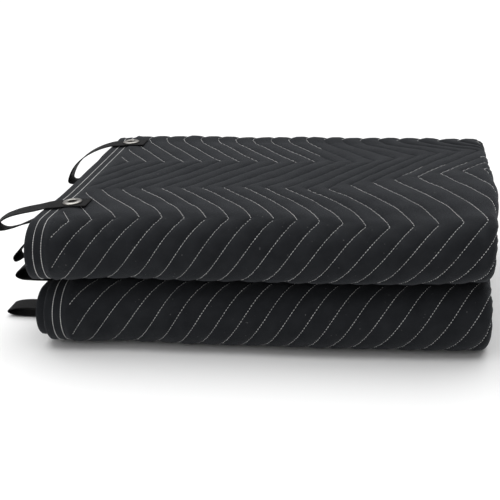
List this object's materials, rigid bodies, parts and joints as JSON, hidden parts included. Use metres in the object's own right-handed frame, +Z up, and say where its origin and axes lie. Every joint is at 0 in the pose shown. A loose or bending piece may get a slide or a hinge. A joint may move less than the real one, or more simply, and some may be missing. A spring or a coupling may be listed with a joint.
{
  "type": "folded sound dampening blanket",
  "caption": "Quilted black sound blanket folded into a thick stack with two rounded front folds, webbing loops and metal eyelets at its hemmed end.",
  "frame": {"origin": "under the middle of the whole part, on the surface that it lies on", "axes": "+X right along the rounded front folds, away from the hemmed end; +Y from the front folds to the spine; +Z up"},
  "size_m": [0.5342, 0.3722, 0.1479],
  "materials": {
    "cloth": "black quilted woven cover, matt, with raised puffs between the stitch rows",
    "thread": "white sewing thread, zigzag quilting rows and a double hem row",
    "webbing": "black woven webbing, matt, ribbed weave",
    "metal": "plated, slightly worn"
  },
  "bodies": {
    "root": {"blanket": "cloth", "loop_front_top": "webbing", "loop_back_top": "webbing", "loop_middle_level": "webbing", "loop_low_level": "webbing", "loop_lower_bulge": "webbing", "eyelet_front_top": "metal", "eyelet_back_top": "metal"}
  },
  "joints": []
}
